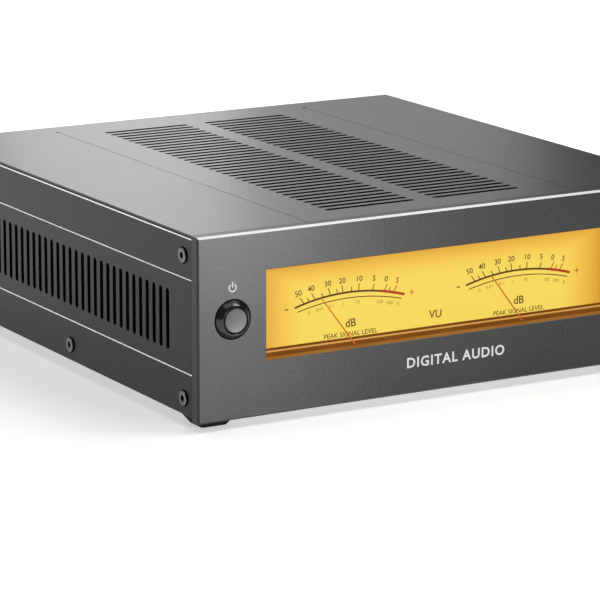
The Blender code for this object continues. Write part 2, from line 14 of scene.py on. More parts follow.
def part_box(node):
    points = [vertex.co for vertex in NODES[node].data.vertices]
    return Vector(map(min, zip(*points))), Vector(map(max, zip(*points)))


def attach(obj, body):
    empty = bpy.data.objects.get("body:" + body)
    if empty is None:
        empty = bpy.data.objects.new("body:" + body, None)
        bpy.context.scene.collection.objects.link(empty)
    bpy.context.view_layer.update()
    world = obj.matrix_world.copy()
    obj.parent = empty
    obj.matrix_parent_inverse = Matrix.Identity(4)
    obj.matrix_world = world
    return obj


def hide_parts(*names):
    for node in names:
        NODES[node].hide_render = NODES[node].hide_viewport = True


MM = 0.001
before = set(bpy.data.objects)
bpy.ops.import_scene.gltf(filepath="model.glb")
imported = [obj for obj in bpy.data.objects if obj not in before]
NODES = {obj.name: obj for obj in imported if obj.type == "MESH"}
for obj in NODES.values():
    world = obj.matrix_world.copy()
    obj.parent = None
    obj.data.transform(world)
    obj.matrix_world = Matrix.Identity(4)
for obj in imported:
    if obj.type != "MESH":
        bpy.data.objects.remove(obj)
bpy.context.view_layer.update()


def node_mm(name):
    """The lowest and highest corner of a CAD node, in millimetres: x, depth and z pairs."""
    low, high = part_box(name)
    return [(low[i] / MM - OFFSET[i], high[i] / MM - OFFSET[i]) for i in range(3)]


OFFSET = (0.0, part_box("front_panel")[0][1] / MM, 0.0)
PANEL_X, PANEL_Y, PANEL_Z = node_mm("front_panel")
HALF = PANEL_X[1]
PANEL_THICK = PANEL_Y[1]
PANEL_TOP = PANEL_Z[1]
FOOT_DROP = PANEL_Z[0]
PIECES = bpy.data.collections.new("desktop_dac_looks")
bpy.context.scene.collection.children.link(PIECES)

# Vents, as in the CAD
SLOT_COUNT = 35
TOP_SLOTS = {"first": 19.4, "pitch": 5.1, "span": (4.0, 41.3), "width": 2.5}
SIDE_SLOTS = {"first": 22.05, "pitch": 5.13, "span": (26.1, 48.0), "width": 2.3}
GROOVES = (20.35, 54.3)
SCREW_DEPTHS = {
    "top_front": (10.3, 62.2),
    "top_rear": (203.0, 62.2),
    "bottom_front": (10.3, 10.8),
    "bottom_middle": (99.5, 10.8),
    "bottom_rear": (203.0, 10.8),
}
SEAM_X = 57.2
WINDOW_HALF = 76.5
WINDOW_Z = (23.1, 55.9)
CHAMFER = 0.75
BUTTONS = {"power": -90.0, "input": 90.0}
BUTTON_Z = 39.66
METERS = {"left": -33.7, "right": 38.75}
PIVOT_Z = 21.1
NEEDLE_ANGLE = 37.4
NEEDLE_DEPTH = 9.8
FRAME_WALL = 1.5

# Print: a font's size is this many times the height of its capitals
SIZE_PER_HEIGHT = 1.37
PRINT_THICK = 0.04
PRINT_DEPTH = 10.95
FRONT_PRINT_DEPTH = 0.01
ARC_R = 79.8
NUMERAL_R = 84.3

# The front panel, the cover and the sides
BUTTON_HOLE_R = 7.3
COVER_THICK = 2.0
COVER_RIM = 0.8
STEP_X = 102.6
SEAM_HALF = 0.13
SEAM_DEEP = 0.35
SEAM_END = 204.0
PIT_R = 0.75
GROOVE_HALF = 0.36
SIDE_EDGE = 0.34
CUT_END = 220.0


# Turns that point a shape's local Z axis out of the front or out of the rear
FORWARD = (90, 0, 0)
REARWARD = (-90, 0, 0)


# ---------------------------------------------------------------- shapes


def place(x=0.0, depth=0.0, z=0.0, turn=(0.0, 0.0, 0.0)):
    """A matrix that puts a shape made in millimetres in the row frame."""
    spin = Matrix.Identity(4)
    for axis, angle in zip("XYZ", turn):
        spin = Matrix.Rotation(math.radians(angle), 4, axis) @ spin
    at = Vector(((x + OFFSET[0]) * MM, (depth + OFFSET[1]) * MM, z * MM))
    return Matrix.Translation(at) @ spin @ Matrix.Scale(MM, 4)


def link(name, mesh, matrix):
    mesh.transform(matrix)
    piece = bpy.data.objects.new(name, mesh)
    PIECES.objects.link(piece)
    return piece


def from_bmesh(name, bm, matrix):
    bmesh.ops.recalc_face_normals(bm, faces=bm.faces)
    mesh = bpy.data.meshes.new(name)
    bm.to_mesh(mesh)
    bm.free()
    return link(name, mesh, matrix)


def evaluated(drawn):
    """The mesh of an object, with its curves or modifiers worked out."""
    bpy.context.view_layer.update()
    graph = bpy.context.evaluated_depsgraph_get()
    return bpy.data.meshes.new_from_object(drawn.evaluated_get(graph))


def from_curve(name, curve):
    """The mesh that a curve or a line of text draws. The curve itself is removed."""
    drawn = bpy.data.objects.new(name, curve)
    bpy.context.scene.collection.objects.link(drawn)
    mesh = evaluated(drawn)
    bpy.data.objects.remove(drawn)
    bpy.data.curves.remove(curve)
    return mesh


def shade(piece, angle=32.0):
    """Smooth shading with sharp edges kept where the surface turns by more than an angle."""
    bm = bmesh.new()
    bm.from_mesh(piece.data)
    limit = math.radians(angle)
    for edge in bm.edges:
        edge.smooth = len(edge.link_faces) == 2 and edge.calc_face_angle(math.pi) < limit
    for face in bm.faces:
        face.smooth = True
    bm.to_mesh(piece.data)
    bm.free()
    return piece


def block(name, x, depth, z, edge=0.0, segments=2):
    """A block between two values of x, depth and z, with rounded edges."""
    bm = bmesh.new()
    bmesh.ops.create_cube(bm, size=1.0)
    size = (x[1] - x[0], depth[1] - depth[0], z[1] - z[0])
    bmesh.ops.scale(bm, vec=size, verts=bm.verts)
    if edge:
        bmesh.ops.bevel(bm, geom=bm.edges[:], offset=edge, segments=segments, affect="EDGES", profile=0.5)
    return from_bmesh(name, bm, place(sum(x) / 2, sum(depth) / 2, sum(z) / 2))


def turned(name, profile, steps=48, ring=False, **at):
    """A turned shape: (radius, height) pairs spun about the local Z axis."""
    bm = bmesh.new()
    rows = []
    for radius, height in profile:
        if radius < 1e-6:
            rows.append([bm.verts.new((0, 0, height))])
        else:
            angles = [math.tau * i / steps for i in range(steps)]
            rows.append([bm.verts.new((radius * math.cos(a), radius * math.sin(a), height)) for a in angles])
    pairs = list(zip(rows, rows[1:]))
    if ring:
        pairs.append((rows[-1], rows[0]))
    for upper, lower in pairs:
        for i in range(steps):
            j = (i + 1) % steps
            loop = ((upper, i), (upper, j), (lower, j), (lower, i))
            unique = list(dict.fromkeys(row[k % len(row)] for row, k in loop))
            if len(unique) > 2:
                bm.faces.new(unique)
    return from_bmesh(name, bm, place(**at))


def stacked(name, rows, matrix=None):
    """A closed shape through rows of as many points each, capped at both ends."""
    bm = bmesh.new()
    loops = [[bm.verts.new(point) for point in row] for row in rows]
    for upper, lower in zip(loops, loops[1:]):
        for i in range(len(upper)):
            j = (i + 1) % len(upper)
            bm.faces.new((upper[i], upper[j], lower[j], lower[i]))
    bm.faces.new(loops[0])
    bm.faces.new(loops[-1])
    return from_bmesh(name, bm, matrix if matrix is not None else place())


def prism(name, section, depths):
    """A bar along the case, from a section given as x and z."""
    return stacked(name, [[(x, depth, z) for x, z in section] for depth in depths])


def rounded(points, radius, steps=4):
    """Rounds the corners of a closed outline: radius is one number or one for each point."""
    count = len(points)
    radii = radius if isinstance(radius, (list, tuple)) else [radius] * count
    out = []
    for i, point in enumerate(points):
        here, before, after = Vector(point), Vector(points[i - 1]), Vector(points[(i + 1) % count])
        a, b = (before - here).normalized(), (after - here).normalized()
        half = a.angle(b) / 2
        reach = radii[i] / math.tan(half)
        middle = here + (a + b).normalized() * (radii[i] / math.sin(half))
        start, end = here + a * reach - middle, here + b * reach - middle
        for k in range(steps + 1):
            out.append(tuple(middle + start.slerp(end, k / steps)))
    return out


def around(middle, half):
    return (middle - half, middle + half)


def rectangle(x, y, inset=0.0):
    """An outline between two values of each coordinate, made smaller all round by the inset."""
    (left, right), (low, high) = ((pair[0] + inset, pair[1] - inset) for pair in (x, y))
    return [(left, low), (right, low), (right, high), (left, high)]


def stadium(center, half_length, half_width, steps=8):
    """A slot with round ends, its length along the second axis."""
    u, v = center
    points = []
    for end, start in ((1, 0.0), (-1, math.pi)):
        for i in range(steps + 1):
            angle = start + math.pi * i / steps
            reach = end * (half_length - half_width)
            points.append((u + half_width * math.cos(angle), v + reach + half_width * math.sin(angle)))
    return points


def circle(center, radius, steps=40):
    angles = [math.tau * i / steps for i in range(steps)]
    return [(center[0] + radius * math.cos(a), center[1] + radius * math.sin(a)) for a in angles]


def plate(name, loops, thickness, bevel, segments, matrix):
    """A flat piece with holes, centred on its own XY plane, with its rims and holes bevelled."""
    curve = bpy.data.curves.new(name, "CURVE")
    curve.dimensions = "2D"
    curve.fill_mode = "BOTH"
    curve.extrude = max(thickness / 2 - bevel, 0.0)
    curve.bevel_depth = bevel
    curve.bevel_resolution = segments - 1
    curve.offset = -bevel
    for loop in loops:
        spline = curve.splines.new("POLY")
        spline.points.add(len(loop) - 1)
        for point, (u, v) in zip(spline.points, loop):
            point.co = (u, v, 0.0, 1.0)
        spline.use_cyclic_u = True
    flat = from_curve(name, curve)
    bm = bmesh.new()
    bm.from_mesh(flat)
    bpy.data.meshes.remove(flat)
    bmesh.ops.remove_doubles(bm, verts=bm.verts, dist=0.0005)
    return from_bmesh(name, bm, matrix)


def boolean(piece, tool):
    """Cuts a tool out of a piece with an exact Boolean, and removes the tool."""
    step = piece.modifiers.new("cut", "BOOLEAN")
    step.operation = "DIFFERENCE"
    step.solver = "EXACT"
    step.object = tool
    result = evaluated(piece)
    piece.modifiers.clear()
    old = piece.data
    piece.data = result
    bpy.data.meshes.remove(old)
    bpy.data.objects.remove(tool)
    return piece


def join(name, parts):
    """One piece from several meshes, each keeping its own materials."""
    bm = bmesh.new()
    materials = []
    for part in parts:
        used = list(part.data.materials)
        for m in used:
            if m not in materials:
                materials.append(m)
        start = len(bm.faces)
        bm.from_mesh(part.data)
        bm.faces.ensure_lookup_table()
        for face in bm.faces[start:]:
            if used:
                face.material_index = materials.index(used[face.material_index])
    mesh = bpy.data.meshes.new(name)
    bm.to_mesh(mesh)
    bm.free()
    for part in parts:
        bpy.data.objects.remove(part)
    for m in materials:
        mesh.materials.append(m)
    piece = bpy.data.objects.new(name, mesh)
    PIECES.objects.link(piece)
    return piece


def paint(piece, look):
    piece.data.materials.clear()
    piece.data.materials.append(LOOKS[look])
    return piece


def paint_where(piece, look, test):
    """Gives the faces that pass a test, by centre in the CAD's millimetres and by normal, another look."""
    mesh = piece.data
    mesh.materials.append(LOOKS[look])
    index = len(mesh.materials) - 1
    for face in mesh.polygons:
        at = face.center
        where = (at.x / MM, at.y / MM - OFFSET[1], at.z / MM)
        if test(where, face.normal):
            face.material_index = index


def settle(piece, look, body="case", replaces=()):
    """Gives a piece its look, if one look fits all, and tells the frame what it rides on and replaces."""
    if look:
        paint(piece, look)
    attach(piece, body)
    if replaces:
        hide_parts(*replaces)


# ---------------------------------------------------------------- materials


# Strengths of painted light: the dial, the strips and walls that its light reaches, the needle and the print
# glow with emission, though none of them is a lamp
PAINTED_GLOW = 0.95
PRINT_PAINTED_GLOW = 0.9


class Nodes:
    """A material's node tree, with short ways to add what the finishes share."""

    def __init__(self, name, **sockets):
        self.material = bpy.data.materials.new(name)
        self.material.use_nodes = True
        self.tree = self.material.node_tree
        self.shader = self.tree.nodes["Principled BSDF"]
        self.coords = self.add("ShaderNodeTexCoord").outputs["Object"]
        for socket, value in sockets.items():
            self.shader.inputs[socket.replace("_", " ")].default_value = value

    def add(self, kind, **values):
        node = self.tree.nodes.new(kind)
        for key, value in values.items():
            setattr(node, key, value)
        return node

    def wire(self, start, end):
        self.tree.links.new(start, end)

    def noise(self, scale, detail=2.0, roughness=0.5, stretch=None):
        node = self.add("ShaderNodeTexNoise")
        node.inputs["Scale"].default_value = scale
        node.inputs["Detail"].default_value = detail
        node.inputs["Roughness"].default_value = roughness
        coords = self.coords
        if stretch:
            mapping = self.add("ShaderNodeMapping")
            mapping.inputs["Scale"].default_value = stretch
            self.wire(self.coords, mapping.inputs["Vector"])
            coords = mapping.outputs["Vector"]
        self.wire(coords, node.inputs["Vector"])
        return node.outputs["Fac"]

    def ramp(self, factor, stops):
        node = self.add("ShaderNodeValToRGB")
        elements = node.color_ramp.elements
        while len(elements) < len(stops):
            elements.new(0.5)
        for element, (position, color) in zip(elements, stops):
            element.position = position
            element.color = (*color, 1.0)
        self.wire(factor, node.inputs["Fac"])
        return node.outputs["Color"]

    def spread(self, factor, low, high, start=0.3, end=0.7):
        node = self.add("ShaderNodeMapRange")
        node.inputs["From Min"].default_value = start
        node.inputs["From Max"].default_value = end
        node.inputs["To Min"].default_value = low
        node.inputs["To Max"].default_value = high
        self.wire(factor, node.inputs["Value"])
        return node.outputs["Result"]

    def bump(self, height, strength, distance):
        node = self.add("ShaderNodeBump")
        node.inputs["Strength"].default_value = strength
        node.inputs["Distance"].default_value = distance
        self.wire(height, node.inputs["Height"])
        self.wire(node.outputs["Normal"], self.shader.inputs["Normal"])

    def color(self, output):
        self.wire(output, self.shader.inputs["Base Color"])

    def roughness(self, output):
        self.wire(output, self.shader.inputs["Roughness"])

    def emit(self, output, strength, base):
        """Light of its own over a nearly black base."""
        self.wire(output, self.shader.inputs["Emission Color"])
        self.shader.inputs["Emission Strength"].default_value = strength
        self.shader.inputs["Specular IOR Level"].default_value = 0.1
        self.shader.inputs["Base Color"].default_value = (*base, 1.0)


def grey(value):
    return (value, value, value)


def anodised(name, dark, light, metallic, rough, grain=1400.0, depth=0.00003, sheen=0.5):
    """Bead-blasted anodised aluminium: a fine grain in colour, gloss and relief."""
    m = Nodes(name, Metallic=metallic, Specular_IOR_Level=sheen)
    speckle = m.noise(grain, 3.0, 0.7)
    drift = m.noise(18.0, 2.0)
    mix = m.add("ShaderNodeMath", operation="MULTIPLY_ADD")
    m.wire(drift, mix.inputs[0])
    mix.inputs[1].default_value = 0.25
    m.wire(speckle, mix.inputs[2])
    m.color(m.ramp(mix.outputs[0], [(0.42, dark), (0.82, light)]))
    m.roughness(m.spread(speckle, rough - 0.04, rough + 0.06))
    m.bump(speckle, 0.35, depth)
    return m.material


def plastic(name, dark, light, rough, metallic=0.0, sheen=0.5):
    """Moulded plastic, or plain metal, with a fine grain in its gloss."""
    m = Nodes(name, Metallic=metallic, Specular_IOR_Level=sheen)
    speckle = m.noise(900.0, 2.0, 0.6)
    m.color(m.ramp(m.noise(60.0), [(0.3, dark), (0.7, light)]))
    m.roughness(m.spread(speckle, rough - 0.04, rough + 0.05))
    m.bump(speckle, 0.25, 0.00002)
    return m.material


def rolled_steel(name, dark, light, rough):
    """Plated sheet with fine lines along X."""
    m = Nodes(name, Metallic=1.0)
    lines = m.noise(500.0, 3.0, 0.6, stretch=(0.04, 1.0, 1.0))
    m.color(m.ramp(lines, [(0.3, dark), (0.7, light)]))
    m.roughness(m.spread(lines, rough - 0.05, rough + 0.08))
    m.bump(lines, 0.15, 0.00001)
    return m.material


def rubber():
    m = Nodes("foot_rubber_look", Specular_IOR_Level=0.12)
    fine = m.noise(1200.0, 3.0, 0.6)
    m.color(m.ramp(m.noise(90.0), [(0.3, grey(0.002)), (0.7, grey(0.005))]))
    m.roughness(m.spread(fine, 0.6, 0.8))
    m.bump(fine, 0.4, 0.00005)
    return m.material


def gloss_black():
    """Polished black with a very faint haze, as on a lacquered ring."""
    m = Nodes("black_gloss_look", Specular_IOR_Level=0.5, Coat_Weight=0.35, Coat_Roughness=0.05)
    haze = m.noise(250.0)
    m.color(m.ramp(haze, [(0.3, grey(0.003)), (0.7, grey(0.006))]))
    m.roughness(m.spread(haze, 0.1, 0.17))
    return m.material


def painted_backlight_dial():
    """A translucent amber plate lit from behind, with that backlight painted in as its own light: painted
    brighter in the middle, deeper towards its top and ends.
    """
    m = Nodes("dial_amber_painted_backlight_look", Roughness=0.55)
    split = m.add("ShaderNodeSeparateXYZ")
    m.wire(m.coords, split.inputs[0])
    across = m.add("ShaderNodeMath", operation="ABSOLUTE")
    m.wire(split.outputs["X"], across.inputs[0])
    ends = m.spread(across.outputs[0], 0.0, 1.0, 0.056, 0.0795)
    upper = m.spread(split.outputs["Z"], 0.0, 1.0, 0.0425, 0.0560)
    bend = m.add("ShaderNodeMath", operation="POWER")
    m.wire(upper, bend.inputs[0])
    bend.inputs[1].default_value = 1.5
    both = m.add("ShaderNodeMath", operation="MAXIMUM")
    m.wire(bend.outputs[0], both.inputs[0])
    m.wire(ends, both.inputs[1])
    soft = m.noise(35.0, 1.0)
    tone = m.add("ShaderNodeMath", operation="MULTIPLY_ADD")
    m.wire(soft, tone.inputs[0])
    tone.inputs[1].default_value = 0.06
    m.wire(both.outputs[0], tone.inputs[2])
    stops = [(0.0, (1.0, 0.76, 0.12)), (0.35, (0.97, 0.6, 0.075)), (0.85, (0.74, 0.33, 0.03))]
    m.emit(m.ramp(tone.outputs[0], stops), PAINTED_GLOW, (0.04, 0.025, 0.005))
    return m.material


def glow(name, dark, light):
    """A strip or a wall that the light behind the dial reaches, with that light painted in as its own glow.
    """
    m = Nodes(name, Roughness=0.4)
    m.emit(m.ramp(m.noise(45.0, 1.0), [(0.3, dark), (0.7, light)]), PAINTED_GLOW, [0.05 * c for c in dark])
    return m.material


def ink(name, color):
    """Print that gives off a little light: a painted glow, standing in for the light on ink on a lit dial
    and on the front panel's print.
    """
    m = Nodes(name, Roughness=0.6)
    fleck = m.noise(2500.0)
    tone = m.ramp(fleck, [(0.3, [c * 0.9 for c in color]), (0.7, color)])
    m.emit(tone, PRINT_PAINTED_GLOW, (0.01, 0.005, 0.002))
    return m.material


def glass():
    tint = (0.95, 0.97, 0.98)
    m = Nodes("tube_glass_look", Transmission_Weight=1.0, IOR=1.45)
    m.color(m.ramp(m.noise(20.0), [(0.3, tint), (0.7, tint)]))
    m.roughness(m.spread(m.noise(40.0), 0.01, 0.02))
    return m.material


def pane():
    """A thin clear sheet: it shows only a faint sheen and doesn't shift what is behind it."""
    m = Nodes("lens_clear_look", Alpha=0.035)
    m.color(m.ramp(m.noise(20.0), [(0.3, grey(0.02)), (0.7, grey(0.03))]))
    m.roughness(m.spread(m.noise(40.0), 0.02, 0.04))
    return m.material


def gold():
    m = Nodes("jack_gold_look", Metallic=1.0)
    lines = m.noise(700.0, 2.0)
    m.color(m.ramp(lines, [(0.3, (0.72, 0.47, 0.16)), (0.7, (0.9, 0.64, 0.27))]))
    m.roughness(m.spread(lines, 0.16, 0.26))
    return m.material


LOOKS = {
    "panel": anodised("front_panel_look", grey(0.034), grey(0.066), 0.8, 0.4),
    "case": anodised("case_metal_look", grey(0.035), grey(0.06), 0.85, 0.34),
    # Painted shade: the side panels get a darker, less glossy copy of the case metal
    "side": anodised("side_metal_painted_shade_look", grey(0.008), grey(0.018), 0.6, 0.28, sheen=0.28),
    "rear": anodised("rear_metal_look", grey(0.05), grey(0.085), 0.4, 0.45),
    # Painted highlight: a light metal on the side panels' upward faces of the top edge and the grooves
    "edge": anodised("side_edge_painted_highlight_look", grey(0.5), grey(0.62), 0.9, 0.3),
    # Painted highlight: the front panel's top chamfer gets a much lighter metal
    "painted_highlight_chamfer": anodised("front_chamfer_painted_highlight_look", grey(0.2), grey(0.28), 0.9, 0.3),
    "tray": rolled_steel("tray_steel_look", grey(0.2), grey(0.32), 0.35),
    "plastic": plastic("black_plastic_look", grey(0.008), grey(0.016), 0.4),
    # Near-black: the own colour of black parts, and painted shade on the walls of slots, countersinks and
    # screw recesses and on screws' cones
    "inside": plastic("black_and_painted_shade_look", grey(0.002), grey(0.004), 0.6, sheen=0.04),
    "gloss": gloss_black(),
    "cap": anodised("button_metal_look", grey(0.045), grey(0.07), 0.8, 0.3, grain=2500.0, depth=0.00001),
    "rubber": rubber(),
    "screw": plastic("screw_steel_look", grey(0.13), grey(0.22), 0.3, metallic=0.9),
    # Painted backlight: the dial glows with its own light
    "dial": painted_backlight_dial(),
    # Painted light from the dial: the rail, the joint line, the mask, the window's walls and the needle glow
    # with their own emission
    "rail": glow("dial_rail_painted_glow_look", (0.68, 0.33, 0.075), (0.78, 0.4, 0.1)),
    "dark_joint_painted_glow": glow("dial_joint_painted_glow_look", (0.17, 0.045, 0.001), (0.22, 0.06, 0.002)),
    "painted_glow_brown": glow("dial_mask_painted_glow_look", (0.19, 0.06, 0.006), (0.25, 0.09, 0.012)),
    "painted_glow_wall": glow("window_wall_painted_glow_look", (0.22, 0.068, 0.011), (0.29, 0.1, 0.024)),
    "needle": glow("needle_orange_painted_glow_look", (0.58, 0.14, 0.012), (0.66, 0.17, 0.018)),
    # Print with a painted glow: the scale's inks and the front panel's white print give off a little light
    "ink": ink("dark_ink_painted_glow", (0.12, 0.045, 0.006)),
    "faint_ink": ink("faint_ink_painted_glow", (0.55, 0.28, 0.045)),
    "red_ink": ink("red_ink_painted_glow", (0.55, 0.035, 0.01)),
    "white_ink": ink("white_print_painted_glow", (0.82, 0.82, 0.82)),
    "lens": pane(),
    "board": plastic("circuit_board_look", (0.005, 0.035, 0.02), (0.01, 0.06, 0.035), 0.35),
    "glass": glass(),
    "wrap": plastic("transformer_wrap_look", grey(0.012), grey(0.03), 0.35),
    "sleeve": plastic("capacitor_sleeve_look", (0.01, 0.01, 0.03), (0.02, 0.02, 0.045), 0.3),
    "shield": rolled_steel("shield_metal_look", grey(0.55), grey(0.7), 0.3),
    "gold": gold(),
    "white_plastic": plastic("white_plastic_look", grey(0.6), grey(0.7), 0.35),
    "red_plastic": plastic("red_plastic_look", (0.5, 0.02, 0.015), (0.6, 0.03, 0.02), 0.35),
    "orange_plastic": plastic("orange_plastic_look", (0.7, 0.2, 0.02), (0.8, 0.26, 0.03), 0.35),
    "pin": plastic("pin_metal_look", grey(0.5), grey(0.65), 0.25, metallic=1.0),
}


# ---------------------------------------------------------------- case


def upright(depth):
    """The matrix of a plate that stands facing the front, with its outline given as x and z."""
    return place(depth=depth, turn=FORWARD)


def flared(loop, rows):
    """A cutter for one opening: rows of how far its outline grows and at what depth."""
    middle = Vector((sum(p[0] for p in loop) / len(loop), sum(p[1] for p in loop) / len(loop)))
    shape = []
    for reach, depth in rows:
        row = []
        for point in loop:
            away = Vector(point) - middle
            if len(loop) == 4:
                moved = (point[0] + math.copysign(reach, away.x), point[1] + math.copysign(reach, away.y))
            else:
                moved = middle + away.normalized() * (away.length + reach)
            row.append((moved[0], depth, moved[1]))
        shape.append(row)
    return stacked("opening", shape)


def make_front_panel():
    """A thick plate with a chamfer round its front, a window opening and two button holes."""
    rows = []
    for shrink, depth in ((CHAMFER, 0.0), (0.0, CHAMFER), (0.0, PANEL_THICK)):
        rows.append([(x, depth, z) for x, z in rectangle(PANEL_X, PANEL_Z, shrink)])
    panel = stacked("front_panel_shell", rows)
    window = rectangle((-WINDOW_HALF, WINDOW_HALF), WINDOW_Z)
    boolean(panel, flared(window, ((0.9, -0.7), (0.0, 0.2), (0.0, 6.0))))
    for x in BUTTONS.values():
        boolean(panel, flared(circle((x, BUTTON_Z), BUTTON_HOLE_R, 64), ((0.0, -2.0), (0.0, 6.0))))
    paint(shade(panel, 20), "panel")

    def painted_highlight_top_chamfer(at, normal):
        return at[2] > PANEL_TOP - CHAMFER and 0.3 < normal.z < 0.9

    def window_wall(at, normal):
        inside = abs(at[0]) < WINDOW_HALF + 0.1 and WINDOW_Z[0] - 0.1 < at[2] < WINDOW_Z[1] + 0.1
        return inside and abs(normal.y) < 0.3

    # Painted highlight on the top chamfer
    paint_where(panel, "painted_highlight_chamfer", painted_highlight_top_chamfer)
    # Painted light: the window's walls glow amber, standing in for the dial's light falling on them
    paint_where(panel, "painted_glow_wall", window_wall)
    settle(panel, None, replaces=["front_panel"])


def groove_cutter(side, z):
    """A long bar with a triangular section that cuts a V groove in a side panel."""
    points = ((GROOVE_HALF, 2 * GROOVE_HALF), (GROOVE_HALF, -2 * GROOVE_HALF), (-GROOVE_HALF, 0.0))
    return prism("groove", [(side * (HALF + u), z + v) for u, v in points], (2.0, CUT_END))


def edge_cutter(side, top):
    """A long bar that takes off a side panel's upper outer edge."""
    section = [(-SIDE_EDGE - 1, 1.0), (1.0, -SIDE_EDGE - 1), (1.0, 1.0)]
    return prism("edge", [(side * (HALF + u), top + v) for u, v in section], (2.0, CUT_END))


def countersink(side, depth, z):
    profile = [(0.0, 0.4), (3.55, 0.4), (3.0, -0.15), (1.8, -1.35), (1.8, -8.0), (0.0, -8.0)]
    return turned("sink", profile, 40, x=side * HALF, depth=depth, z=z, turn=(0, side * 90, 0))


def side_label(side):
    return "left" if side < 0 else "right"


def make_side(side):
    label = side_label(side)
    xs, depths, zs = node_mm(f"{label}_side_panel")
    thickness = xs[1] - xs[0]
    low, high = SIDE_SLOTS["span"]
    middle, half_length = (low + high) / 2, (high - low) / 2
    loops = [rectangle((PANEL_THICK + 0.06, depths[1]), zs)]
    for i in range(SLOT_COUNT):
        center = (SIDE_SLOTS["first"] + i * SIDE_SLOTS["pitch"], middle)
        loops.append(stadium(center, half_length, SIDE_SLOTS["width"] / 2))
    matrix = place(x=sum(xs) / 2, turn=(90, 0, 90))
    panel = plate(f"{label}_side_shell", loops, thickness, 0.12, 1, matrix)
    for z in GROOVES:
        boolean(panel, groove_cutter(side, z))
    boolean(panel, edge_cutter(side, zs[1]))
    for depth, z in SCREW_DEPTHS.values():
        boolean(panel, countersink(side, depth, z))
    paint(shade(panel, 20), "side")

    def painted_shade_slot_wall(at, normal):
        inside = 15.0 < at[1] < 205.0 and low - 0.2 < at[2] < high + 0.2
        return inside and abs(normal.x) < 0.9

    def painted_highlight_edge(at, normal):
        near = at[2] > zs[1] - 0.6 or min(abs(at[2] - z) for z in GROOVES) < 0.7
        return near and 0.3 < normal.z < 0.9 and normal.x * side > 0.3

    def painted_shade_sink_wall(at, normal):
        near = min(math.hypot(at[1] - depth, at[2] - z) for depth, z in SCREW_DEPTHS.values())
        return near < 3.3 and abs(normal.x) < 0.9

    # Painted highlight on the upward faces of the top edge and of the grooves
    paint_where(panel, "edge", painted_highlight_edge)
    # Painted shade: the walls of the slots and of the countersinks are near-black
    paint_where(panel, "inside", painted_shade_slot_wall)
    paint_where(panel, "inside", painted_shade_sink_wall)
    settle(panel, None, replaces=[f"{label}_side_panel"])
    for ending, (depth, z) in SCREW_DEPTHS.items():
        make_screw(side, ending, depth, z)


def make_screw(side, ending, depth, z):
    """A low head with a six-lobed recess and a softly rounded rim, over its cone and shank; the cone, the
    shank and the recess's walls are near-black as painted shade.
    """
    face = [(0.0, 0.64), (2.25, 0.64), (2.45, 0.7), (2.64, 0.64), (2.72, 0.5)]
    wall = [(2.72, 0.5), (2.75, 0.35), (2.75, -0.1), (1.45, -1.4), (1.45, -6.6), (0.0, -6.6)]
    at = {"x": side * HALF, "depth": depth, "z": z, "turn": (0, side * 90, 0)}
    name = f"side_screw_{side_label(side)}_{ending}"
    parts = []
    for part, profile, look in (("face", face, "screw"), ("wall", wall, "inside")):
        parts.append(paint(turned(f"{name}_{part}", profile, 40, **at), look))
    screw = weld(join(f"{name}_turned", parts))
    lobes = []
    for i in range(48):
        angle = math.tau * i / 48
        radius = 1.2 + 0.24 * math.cos(6 * angle)
        lobes.append((radius * math.cos(angle), radius * math.sin(angle)))
    turn = place(**at) @ Matrix.Rotation(math.radians(17.0 * (depth % 7)), 4, "Z")
    recess = plate("recess", [lobes], 3.6, 0.0, 1, turn)
    paint(recess, "inside")
    boolean(screw, recess)
    shade(screw, 30)
    settle(screw, None, replaces=[name])


def make_cover():
    """A plate with bevelled vents, a shallow seam on each side, and flanges folded down inside."""
    xs, depths, zs = node_mm("top_cover")
    loops = [rectangle(xs, depths)]
    low, high = TOP_SLOTS["span"]
    middle, half_length = (low + high) / 2, (high - low) / 2
    for side in (-1, 1):
        for i in range(SLOT_COUNT):
            depth = TOP_SLOTS["first"] + i * TOP_SLOTS["pitch"]
            slot = stadium((depth, side * middle), half_length, TOP_SLOTS["width"] / 2)
            loops.append([(v, u) for u, v in reversed(slot)])
    cover = plate("top_cover_plate", loops, COVER_THICK, 0.03, 1, place(z=PANEL_TOP - COVER_THICK / 2))
    step_z = (PANEL_TOP - COVER_THICK - 1, PANEL_TOP - COVER_RIM)
    seam_z = (PANEL_TOP - SEAM_DEEP, PANEL_TOP + 1)
    pit = [(0.0, 1.0), (PIT_R, 1.0), (PIT_R, -0.9), (0.0, -0.9)]
    for side in (-1, 1):
        boolean(cover, block("step", around(side * STEP_X, 1.5), (0.0, CUT_END), step_z))
        boolean(cover, block("seam", around(side * SEAM_X, SEAM_HALF), (0.0, SEAM_END), seam_z))
        boolean(cover, turned("pit", pit, 20, x=side * SEAM_X, depth=SEAM_END, z=PANEL_TOP))
    paint(shade(cover, 20), "case")

    def painted_shade_slot_wall(at, normal):
        return low - 0.3 < abs(at[0]) < high + 0.3 and 15.0 < at[1] < 198.0 and abs(normal.z) < 0.6

    # Painted shade: the walls of the vents are near-black
    paint_where(cover, "inside", painted_shade_slot_wall)
    parts = [cover]
    flange_z = (zs[0], PANEL_TOP - COVER_THICK - 0.02)
    for side in (-1, 1):
        near = sorted((side * 99.6, side * 101.0))
        flange = block(f"flange_{side}", near, (depths[0] + 1, depths[1] - 1), flange_z, 0.2)
        parts.append(paint(flange, "case"))
    settle(join("top_cover_shell", parts), None, replaces=["top_cover"])


